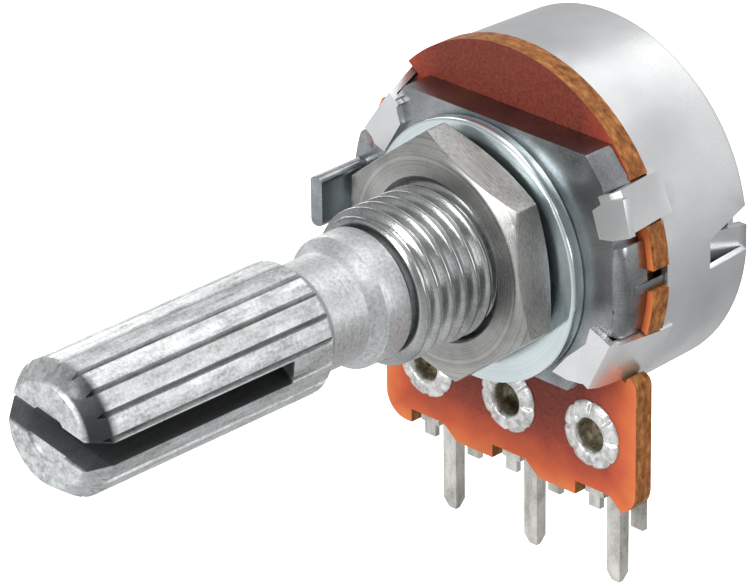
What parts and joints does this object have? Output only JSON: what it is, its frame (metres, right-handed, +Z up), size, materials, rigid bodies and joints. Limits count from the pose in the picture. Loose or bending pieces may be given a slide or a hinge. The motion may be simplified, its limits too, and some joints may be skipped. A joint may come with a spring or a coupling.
{
  "type": "rotary potentiometer",
  "caption": "Rotary potentiometer with a split knurled shaft, threaded panel bushing with nut and washer, phenolic terminal board, round metal can and circuit-board pins.",
  "frame": {"origin": "shaft axis at the front face of the die-cast plate, where the panel seats", "axes": "+Z up, away from the pins; the shaft points along -Y; +X is the side away from the locating lug"},
  "size_m": [0.0174, 0.0336, 0.0247],
  "materials": {
    "shaft_metal": "satin, fine grain",
    "cast_zinc": "plated die-casting, satin",
    "zinc_plate": "bright zinc plating",
    "nut_metal": "turned, nickel plated",
    "phenolic": "red-brown phenolic paper board, punched edges",
    "tinned_steel": "tin plate, satin",
    "spring_steel": "spring steel",
    "carbon_film": "printed carbon",
    "silver_film": "printed silver",
    "rotor_plastic": "moulded, black",
    "contact_bronze": "phosphor bronze strip",
    "eyelet_metal": "tinned flare, dull brass bore",
    "tinned_brass": "hot-tinned"
  },
  "bodies": {
    "housing": {"bushing_plate": "cast_zinc", "washer": "zinc_plate", "hex_nut": "nut_metal", "terminal_board": "phenolic", "rear_can": "tinned_steel", "resistive_track": "carbon_film", "collector_ring": "silver_film", "silver_pad_left": "silver_film", "silver_pad_right": "silver_film", "thrust_washer": "spring_steel", "eyelet_left": "eyelet_metal", "eyelet_middle": "eyelet_metal", "eyelet_right": "eyelet_metal", "terminal_left": "tinned_brass", "terminal_middle": "tinned_brass", "terminal_right": "tinned_brass"},
    "spindle": {"shaft": "shaft_metal", "rotor": "rotor_plastic", "wiper": "contact_bronze", "retaining_ring": "spring_steel"}
  },
  "joints": [
    {"name": "shaft_turn", "type": "hinge", "parent": "housing", "child": "spindle", "pos_m": [0, 0, 0], "axis": [0, 1, 0], "range_deg": [-150, 150]}
  ]
}
